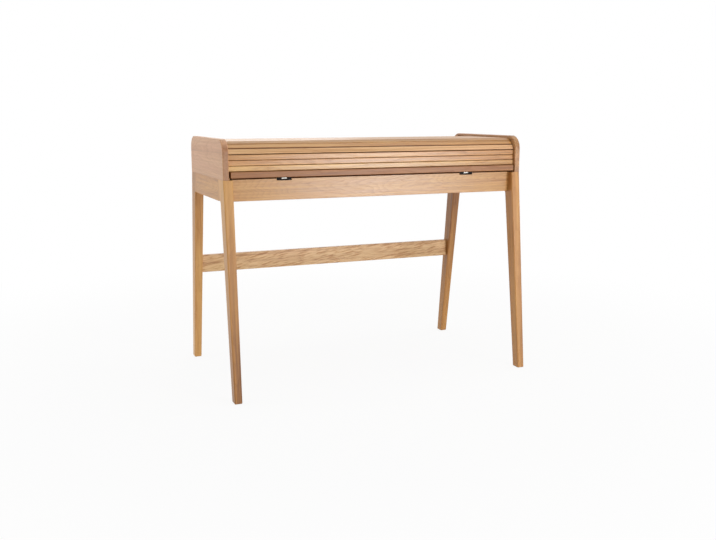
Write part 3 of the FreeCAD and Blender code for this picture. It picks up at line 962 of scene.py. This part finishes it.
@dataclass(frozen=True)
class RoundedPlate:
    """A plate with rounded corners that stands across the desk.

    Attributes:
        width, height, thickness: its size, in metres.
        corner: the radius of its corners.
        bevel: how much its front edge is drawn in.
        sides: how many points there are round its outline.
    """

    width: float
    height: float
    thickness: float
    corner: float = 0.0012
    bevel: float = 0.0003
    sides: int = 32

    def outline(self, inset: float) -> np.ndarray:
        """The rounded rectangle: four quarter circles joined by straight sides.

        Args:
            inset: how far the outline is drawn in.

        Returns:
            Its points (x, z), anticlockwise from the front.
        """
        angle = np.linspace(0.0, 2.0 * math.pi, self.sides, endpoint=False)
        angle += math.pi / self.sides
        side, top = np.sign(np.cos(angle)), np.sign(np.sin(angle))
        radius = self.corner - min(inset, self.corner * 0.5)
        x = side * (self.width / 2 - inset - radius) + radius * np.cos(angle)
        z = top * (self.height / 2 - inset - radius) + radius * np.sin(angle)
        return np.stack([x, z], axis=-1)

    def build(self, name: str, middle: Triple, material: bpy.types.Material, body: str,
              slot: str) -> bpy.types.Object:
        """The plate as a closed loft from its front outline to its back one.

        Args:
            name: the piece's name.
            middle: the middle of its front face.
            material: its finish.
            body: the body that it moves with.
            slot: the record's slot for its finish.

        Returns:
            The piece.
        """
        stations = [(0.0, self.bevel), (self.bevel, 0.0), (self.thickness, 0.0)]
        rings = []
        for depth, inset in stations:
            flat = self.outline(inset)
            rings.append(np.stack([middle[0] + flat[:, 0],
                                   np.full(self.sides, middle[1] + depth),
                                   middle[2] + flat[:, 1]], axis=-1))
        points = np.concatenate(rings)
        front = np.arange(self.sides)
        back = front[::-1] + len(points) - self.sides
        faces = grid_faces(len(rings), self.sides).tolist()
        faces += [front.tolist(), back.tolist()]
        return new_piece(name, points, faces, material, body, slot)


# ------------------------------------------------------------------ the desk
@dataclass
class LegFrame:
    """The four raked legs, the aprons, the low stretcher and the glides.

    Attributes:
        sanding: how its edges are sanded.
        legs: the cut of each leg, by name: grain, seed, tone, blush, drift and tilt.
        side_rails, front_rail, rear_rails: the cuts of the aprons and the stretcher.
        spline, block: how the splines and the corner blocks were sawn.
    """

    sanding: Sanding = Sanding()
    legs: dict[str, Cut] = field(default_factory=lambda: {
        # The front legs' drift makes them darker towards the floor.
        "left_front_leg": Cut(Grain.FRONT_LEG, 3, -0.03, -0.05, 0.95, 0.02),
        "right_front_leg": Cut(Grain.FRONT_LEG, 8, 0.05, 0.10, 0.30, 0.015),
        # The rear legs' negative drift darkens their tops: painted shade under the case.
        "left_rear_leg": Cut(Grain.REAR_LEG, 5, 0.22, 0.05, -0.95, 0.02),
        "right_rear_leg": Cut(Grain.REAR_LEG, 12, -0.19, 0.0, -0.75, 0.02)})
    side_rails: dict[str, Cut] = field(default_factory=lambda: {
        "left_side_apron": Cut(Grain.FRONT_TO_BACK, 4, 0.06, 0.1, 0.0, 0.05),
        "right_side_apron": Cut(Grain.FRONT_TO_BACK, 9, 0.06, 0.0, 0.0, 0.05)})
    front_rail: dict[str, Cut] = field(default_factory=lambda: {
        "front_apron": Cut(Grain.ACROSS, 6, -0.02, -0.10, 0.0, 0.10, (0.05, 0.01), 0.05,
                           figure=0.8, flecks=Flecks(0.34, 9.0, (24.0, 40.0, 170.0),
                                                     (-0.45, 0.15)))})
    rear_rails: dict[str, Cut] = field(default_factory=lambda: {
        "rear_apron": Cut(Grain.ACROSS, 10, 0.12, 0.0, 0.0, 0.06, (-0.05, 0.01)),
        "rear_stretcher": Cut(Grain.ACROSS, 7, 0.32, -0.28, -0.10, 0.05,
                              flecks=Flecks(1.0, 10.0, (20.0, 40.0, 220.0)))})
    spline: Cut = Cut(Grain.FRONT_TO_BACK, 2)
    block: Cut = Cut(Grain.ACROSS, 5)

    def build(self) -> None:
        """Finish every leg and rail, and what holds them."""
        for finish, cuts in ((LEG_OAK, self.legs), (LEG_OAK, self.side_rails),
                             (FRONT_OAK, self.front_rail), (OAK, self.rear_rails)):
            for name, cut in cuts.items():
                self.sanding.soften(dress(name, finish.material(name, cut)))
        dress("splines", BEECH.material("splines", self.spline))
        blocks = BEECH.material("corner_blocks", self.block)
        self.sanding.soften(dress("corner_blocks", blocks))
        dress("glides", NYLON.material("nylon_glides"))


@dataclass
class Case:
    """The two cheeks, the fixed top panel, its rear stop and the back panel.

    Attributes:
        sanding: how its edges are sanded.
        boards: the cut of each board, by name.
    """

    sanding: Sanding = Sanding()
    boards: dict[str, Cut] = field(default_factory=lambda: {
        "left_cheek": Cut(Grain.FRONT_TO_BACK, 11, 0.02, 0.40, 0.0, 0.05, (-0.09, 0.02),
                          figure=0.6),
        # Its low tone darkens the whole board, a painted shade for its inner face above
        # the slats; ends=0.1 keeps its front edge light.
        "right_cheek": Cut(Grain.FRONT_TO_BACK, 1, -0.18, 0.10, 0.0, 0.05, (0.05, 0.02),
                           ends=0.1),
        "top_panel": Cut(Grain.ACROSS, 14, 0.16, 0.0, 0.0, 0.04),
        "back_panel": Cut(Grain.ACROSS, 15, 0.12, 0.0, 0.0, 0.05),
        "rear_stop": Cut(Grain.ACROSS, 16, 0.08, 0.0, 0.0, 0.02)})

    def build(self) -> None:
        """Finish every board of the case."""
        for name, cut in self.boards.items():
            self.sanding.soften(dress(name, OAK.material(name, cut)))


@dataclass(frozen=True)
class SlatLook:
    """How one of the slats that face the front came out.

    Attributes:
        tone: lighter above 0, darker below.
        blush: pinker above 0, yellower below.
        recess_shade: how dark the painted shade on its long edges is, 0 to 1.
        finish: its finish.
        lift: how far, in degrees, the painted shade on its edges is turned down, so that
        on the upper edge it fades into the slat above.
    """

    tone: float
    blush: float
    recess_shade: float = 1.0
    finish: WoodFinish = FRONT_OAK
    lift: float = 0.0


@dataclass
class TambourShutter:
    """The slats and the strips of cloth that join them.

    Attributes:
        visible: the looks of the slats that face the front, the lowest first.
        leans: how far each slat of the corner is turned forwards, in degrees.
        flatness: tilt of the slats' cuts, which gives them long straight streaks.
        front_drift: drift of the slats that face the front.
        front_seeds: the seed of the lowest of those, and the step from slat to slat.
        top_count: how many slats lie on the flat top.
        top_seeds: the seed of the first of those, and the step.
        top_tone, top_swing: the mean tone of those, and how far it swings about it.
        tone_start, tone_step: where in its swing the tone starts, and how far it gets
            from slat to slat, in radians.
        top_blush, blush_step: how far their blush swings about 0, and its step.
        top_pith, top_recess_shade: the pith of their cuts, and how dark the painted shade
        on their long edges is.
    """

    # The fourth look, curve_slat_1's, is paler and greyer in OAK with a high tone: a
    # painted sheen like the lamp's on the front slats.
    visible: Sequence[SlatLook] = (
        SlatLook(0.27, -0.20), SlatLook(-0.01, 0.28), SlatLook(0.0, 0.34),
        SlatLook(0.23, 0.10, finish=OAK), SlatLook(-0.02, 0.10, 0.8, lift=25.0),
        SlatLook(-0.10, -0.05, 0.0))
    leans: Triple = (67.5, 45.0, 22.5)
    flatness: float = 0.012
    front_drift: float = -0.15
    front_seeds: tuple[int, int] = (3, 5)
    top_count: int = 15
    top_seeds: tuple[int, int] = (31, 7)
    top_tone: float = 0.14
    top_swing: float = 0.10
    tone_start: float = 0.6
    tone_step: float = 2.7
    top_blush: float = 0.25
    blush_step: float = 4.1
    top_pith: tuple[float, float] = (0.01, -0.05)
    top_recess_shade: float = 0.3

    def slats(self) -> dict[str, tuple[WoodFinish, Cut]]:
        """The finish and cut of each slat: neighbours come from different boards.

        Returns:
            Both for each slat, by name.
        """
        names = [f"{place}_slat_{index}" for place in ("front", "curve")
                 for index in (1, 2, 3)]
        slats = {}
        for seed, name, look in zip(count(*self.front_seeds), names, self.visible):
            slats[name] = look.finish, Cut(
                Grain.ACROSS, seed, look.tone, look.blush, self.front_drift,
                self.flatness, face=self.facing(name, look.lift), recess_shade=look.recess_shade)
        for seed, index in zip(count(*self.top_seeds), range(self.top_count)):
            name = f"top_slat_{index + 1:02d}"
            swing = math.sin(self.tone_step * index + self.tone_start)
            blush = self.top_blush * math.cos(self.blush_step * index)
            slats[name] = OAK, Cut(
                Grain.ACROSS, seed, self.top_tone + self.top_swing * swing, blush, 0.0,
                self.flatness, pith=self.top_pith, face=self.facing(name),
                recess_shade=self.top_recess_shade)
        return slats

    def facing(self, name: str, lift: float = 0.0) -> Triple:
        """The way a slat's face looks: up on the top, forwards on the front.

        Args:
            name: the slat's name.
            lift: how far it is turned up from there, in degrees.

        Returns:
            A unit vector of the desk.
        """
        curve = self.leans[int(name[-1]) - 1] if name.startswith("curve") else 0.0
        lean = math.radians((90.0 if name.startswith("front") else curve) - lift)
        return 0.0, -math.sin(lean), math.cos(lean)

    def build(self) -> None:
        """Finish every slat and strip of cloth."""
        for name, (finish, cut) in self.slats().items():
            dress(name, finish.material(name, cut))
        canvas = CanvasFinish().material("backing_canvas")
        for name in ("top_cloth", "curve_cloth_1", "curve_cloth_2", "curve_cloth_3",
                     "front_cloth"):
            dress(name, canvas)


@dataclass
class SlidingWorktop:
    """The worktop with its lipping, its two ball slides and their bearers.

    Attributes:
        sanding: how the worktop's edges are sanded.
        board, lipping, bearer: how the worktop, its lipping and the bearers were sawn.
        slide_x: distance of a slide from the middle of the desk.
        slide_front: the front end of the slides at rest.
        channel_floor: height of the inside of the fixed channel.
        web_below: height of the underside of the moving member's web.
        screw_rows: the places of the fixed and of the moving screws along a slide.
        cap, cap_height: the cap on the moving member's end, and the height of its middle.
        tab, tab_drop: the zinc tab on the cap, and how far its middle is below the cap's.
        sill, sill_height: the strip under the cap, and the height of its middle.
        bumper, bumper_height, bumper_offset: the blocks beside the cap, the height of
            their middles and how far those are from the slide's.
        strip, strip_setback: the dark strips that the worktop glides over, whose width
        follows from the notches, and how far they lie behind the apron's front; their
        dark brown paints the shade in the gap under the worktop.
        notch_clearance: how far a strip ends from the slide beside it.
        tenon_length: how far the apron goes into a leg, which the strips don't.
    """

    sanding: Sanding = Sanding()
    board: Cut = Cut(Grain.ACROSS, 18, 0.06, 0.0, 0.0, 0.05, pith=(0.02, -0.07))
    lipping: Cut = Cut(Grain.ACROSS, 20, 0.09, 0.0, 0.0, 0.01)
    bearer: Cut = Cut(Grain.FRONT_TO_BACK, 22)
    slide_x: float = 0.340
    slide_front: float = -0.220
    channel_floor: float = 0.7157
    web_below: float = 0.7248
    screw_rows: tuple[Sequence[float], Sequence[float]] = (
        (0.045, 0.155, 0.235, 0.325), (0.030, 0.120, 0.320))
    cap: RoundedPlate = RoundedPlate(0.0344, 0.0088, 0.0020, 0.0015)
    cap_height: float = 0.7214
    tab: RoundedPlate = RoundedPlate(0.0175, 0.0044, 0.0010)
    tab_drop: float = 0.0002
    sill: RoundedPlate = RoundedPlate(0.0352, 0.0024, 0.0025, 0.0006)
    sill_height: float = 0.7156
    bumper: RoundedPlate = RoundedPlate(0.0072, 0.0108, 0.0025, 0.0012)
    bumper_height: float = 0.7200
    bumper_offset: float = 0.0212
    strip: RoundedPlate = RoundedPlate(0.0300, 0.0054, 0.0140, 0.0006)
    strip_setback: float = 0.0020
    notch_clearance: float = 0.0032
    tenon_length: float = 0.0163

    def build(self) -> None:
        """Finish the boards and the slides, and add the small parts of the slides."""
        self.sanding.soften(dress("worktop", OAK.material("worktop", self.board)))
        dress("worktop_lipping", LIPPING_OAK.material("worktop_lipping", self.lipping))
        zinc = ZINC.material("zinc_plate")
        dull = DULL_ZINC.material("dull_zinc")
        black = BLACK_PLASTIC.material("slide_plastic")
        for side, sign in (("left", -1), ("right", 1)):
            name = f"{side}_slide_bearer"
            cut = replace(self.bearer, seed=self.bearer.seed + sign)
            dress(name, BEECH.material(name, cut))
            dress(f"{side}_slide_outer", zinc)
            dress(f"{side}_slide_inner", zinc)
            dress(f"{side}_slide_cage", black)
            self._small_parts(side, sign * self.slide_x, zinc, dull, black)
        self._gap_shade_strips(GAP_SHADE_PLASTIC.material("gap_shade_plastic"))

    def _gap_shade_strips(self, brown: bpy.types.Material) -> None:
        """The three dark strips on the front apron that the worktop glides over: a dark
        sheet that paints the shade in the gap under the worktop.

        Args:
            brown: the finish of their plastic, dark brown for the painted shade.
        """
        (_, front, _), (right, _, top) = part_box("front_apron")
        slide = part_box("right_slide_outer")
        inner = slide[0][0] - self.notch_clearance
        outer = slide[1][0] + self.notch_clearance
        end = right - self.tenon_length
        runs = {"left": (-end, -outer), "middle": (-inner, inner), "right": (outer, end)}
        for name, (start, stop) in runs.items():
            strip = replace(self.strip, width=stop - start)
            strip.build(f"{name}_gap_shade_strip",
                        ((start + stop) / 2, front + self.strip_setback,
                         top + strip.height / 2), brown, "frame", "cage_plastic")

    def _small_parts(self, side: str, x: float, zinc: bpy.types.Material,
                     dull: bpy.types.Material, black: bpy.types.Material) -> None:
        """The screws, the end cap with its tab, the sill and the bumpers of one slide.

        Args:
            side: left or right.
            x: the slide's middle.
            zinc: the finish of its screws.
            dull: the finish of its tab.
            black: the finish of its plastic.
        """
        fixed, moving = self.screw_rows
        screw = PanHeadScrew()
        screw.build(f"{side}_channel_screws",
                    [(x, self.slide_front + row, self.channel_floor) for row in fixed],
                    1.0, zinc, "frame")
        screw.build(f"{side}_web_screws",
                    [(x, self.slide_front + row, self.web_below) for row in moving],
                    -1.0, zinc, "worktop")
        end, cap_front = self.slide_front, self.slide_front - self.cap.thickness
        # Each plate with where it sits: offset, seat and height; then what it belongs to.
        for name, plate, offset, seat, height, material, body, slot in (
                ("cap", self.cap, 0.0, end, self.cap_height,
                 black, "worktop", "cage_plastic"),
                ("tab", self.tab, 0.0, cap_front, self.cap_height - self.tab_drop,
                 dull, "worktop", "zinc_steel"),
                ("sill", self.sill, 0.0, end, self.sill_height,
                 black, "frame", "cage_plastic"),
                ("bumper_inner", self.bumper, -self.bumper_offset, end,
                 self.bumper_height, black, "frame", "cage_plastic"),
                ("bumper_outer", self.bumper, self.bumper_offset, end,
                 self.bumper_height, black, "frame", "cage_plastic")):
            middle = (x + offset, seat - plate.thickness, height)
            plate.build(f"{side}_slide_{name}", middle, material, body, slot)


# ------------------------------------------------------------------ the studio
@dataclass(frozen=True)
class Lamp:
    """One square soft lamp.

    Attributes:
        name: its name.
        place: where it hangs.
        aim: the point that it faces.
        size: the length of its side, in metres.
        power: its power in watts.
    """

    name: str
    place: Triple
    aim: Triple
    size: float
    power: float

    def build(self) -> None:
        """Hang the lamp, turned about X and Z so that it faces its aim."""
        light = bpy.data.lights.new(self.name, "AREA")
        light.size = self.size
        light.energy = self.power
        lamp = bpy.data.objects.new(self.name, light)
        away = np.subtract(self.place, self.aim)
        lamp.location = self.place
        lamp.rotation_euler = (math.atan2(math.hypot(away[0], away[1]), away[2]), 0.0,
                               math.atan2(away[0], -away[1]))
        bpy.context.scene.collection.objects.link(lamp)


@dataclass
class Studio:
    """The camera, the lamps, the world and the floor.

    Attributes:
        eye: the camera's place.
        turn_deg: its turn about X and about Z.
        lens_mm: its focal length.
        sensor_mm: the width of the image that the focal length is for.
        shift: its shift, as shares of the image's width.
        fill: the strength of the world's light on the desk.
        lamps: the lamps.
        white: the colour of the surround and of the floor's glow.
        floor_grey: the colour that the floor takes shadows with.
        floor_reach: how far the floor goes each way, in metres.
        floor_glow: how much of the near floor glows and takes no shadow, 0 to 1.
        glow_full: where the glow starts to rise and where it is full, in metres from the
            middle of the desk.
    """

    eye: Triple = (-1.20767, -2.92835, 0.93190)
    turn_deg: tuple[float, float] = (79.4699, -22.6038)
    lens_mm: float = 43.2765
    sensor_mm: float = 36.0
    shift: tuple[float, float] = (0.00123, 0.00373)
    fill: float = 0.46
    lamps: Sequence[Lamp] = (
        Lamp("front_lamp", (1.36, -3.3, 0.56), (0.0, -0.2, 0.70), 1.1, 52.0),
        Lamp("top_lamp", (0.3, -0.3, 3.2), (0.0, 0.0, 0.6), 2.4, 22.0),
        Lamp("left_lamp", (-3.2, 0.5, 0.75), (-0.3, 0.0, 0.55), 1.6, 22.0),
        Lamp("right_lamp", (3.2, 0.3, 1.30), (0.3, 0.0, 0.55), 1.6, 14.0),
        Lamp("rear_lamp", (0.4, 3.2, 2.20), (0.0, 0.2, 0.60), 1.8, 16.0))
    white: Colour = (1.0, 1.0, 1.0)
    floor_grey: Colour = (0.86, 0.86, 0.86)
    floor_reach: float = 40.0
    floor_glow: float = 0.91
    glow_full: tuple[float, float] = (0.9, 2.4)

    def build(self) -> None:
        """Set the whole studio."""
        scene = bpy.context.scene
        scene.view_settings.view_transform = "Standard"
        self._camera(scene)
        for lamp in self.lamps:
            lamp.build()
        self._world(scene)
        self._floor()

    def _camera(self, scene: bpy.types.Scene) -> None:
        """Place the camera.

        Args:
            scene: the scene that looks through it.
        """
        lens = bpy.data.cameras.new("camera")
        lens.sensor_width = self.sensor_mm
        lens.lens = self.lens_mm
        lens.shift_x, lens.shift_y = self.shift
        camera = bpy.data.objects.new("camera", lens)
        camera.location = self.eye
        camera.rotation_euler = (math.radians(self.turn_deg[0]), 0.0,
                                 math.radians(self.turn_deg[1]))
        scene.collection.objects.link(camera)
        scene.camera = camera

    @staticmethod
    def _seen(graph: Graph) -> Field:
        """1 for rays that show the background: from the camera, a gloss or a glass."""
        rays = [graph.node("ShaderNodeLightPath", {}, {}, name)
                for name in ("Is Camera Ray", "Is Glossy Ray", "Is Transmission Ray")]
        return rays[0].math("MAXIMUM", rays[1]).math("MAXIMUM", rays[2])

    def _world(self, scene: bpy.types.Scene) -> None:
        """A white surround that lights the desk less than it shows.

        Args:
            scene: the scene that it surrounds.
        """
        world = bpy.data.worlds.new("white_surround")
        scene.world = world
        graph = Graph(world)
        light = graph.node("ShaderNodeBackground", {},
                           {"Color": self.white, "Strength": self.fill})
        seen = graph.node("ShaderNodeBackground", {},
                          {"Color": self.white, "Strength": 1.0})
        mixed = graph.node("ShaderNodeMixShader", {},
                           {0: self._seen(graph), 1: light, 2: seen})
        graph.node("ShaderNodeOutputWorld", {}, {"Surface": mixed})

    def _floor(self) -> None:
        """A wide white floor that keeps a faint shadow of the desk."""
        reach = self.floor_reach
        mesh = bpy.data.meshes.new("floor")
        mesh.from_pydata([(-reach, -reach, 0.0), (reach, -reach, 0.0),
                          (reach, reach, 0.0), (-reach, reach, 0.0)], [], [(0, 1, 2, 3)])
        made = bpy.data.materials.new("white_floor")
        graph = Graph(made)
        matt = graph.node("ShaderNodeBsdfDiffuse", {}, {"Color": self.floor_grey})
        glow = graph.node("ShaderNodeEmission", {}, {"Color": self.white})
        spot = graph.spot()
        far = graph.vector("LENGTH", spot, (0.0, 0.0, 0.0), 1).step(*self.glow_full)
        share = self._seen(graph) * (self.floor_glow + (1.0 - self.floor_glow) * far)
        mixed = graph.node("ShaderNodeMixShader", {}, {0: share, 1: matt, 2: glow})
        graph.node("ShaderNodeOutputMaterial", {}, {"Surface": mixed})
        mesh.materials.append(made)
        floor = bpy.data.objects.new("floor", mesh)
        bpy.context.scene.collection.objects.link(floor)


def main() -> None:
    """Build the desk's looks and the studio."""
    logging.basicConfig(level=logging.INFO, format="%(name)s: %(message)s")
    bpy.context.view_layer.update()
    for part in (Studio(), LegFrame(), Case(), TambourShutter(), SlidingWorktop()):
        part.build()
        LOG.info("%s is done", type(part).__name__)


if __name__ == "__main__":
    main()
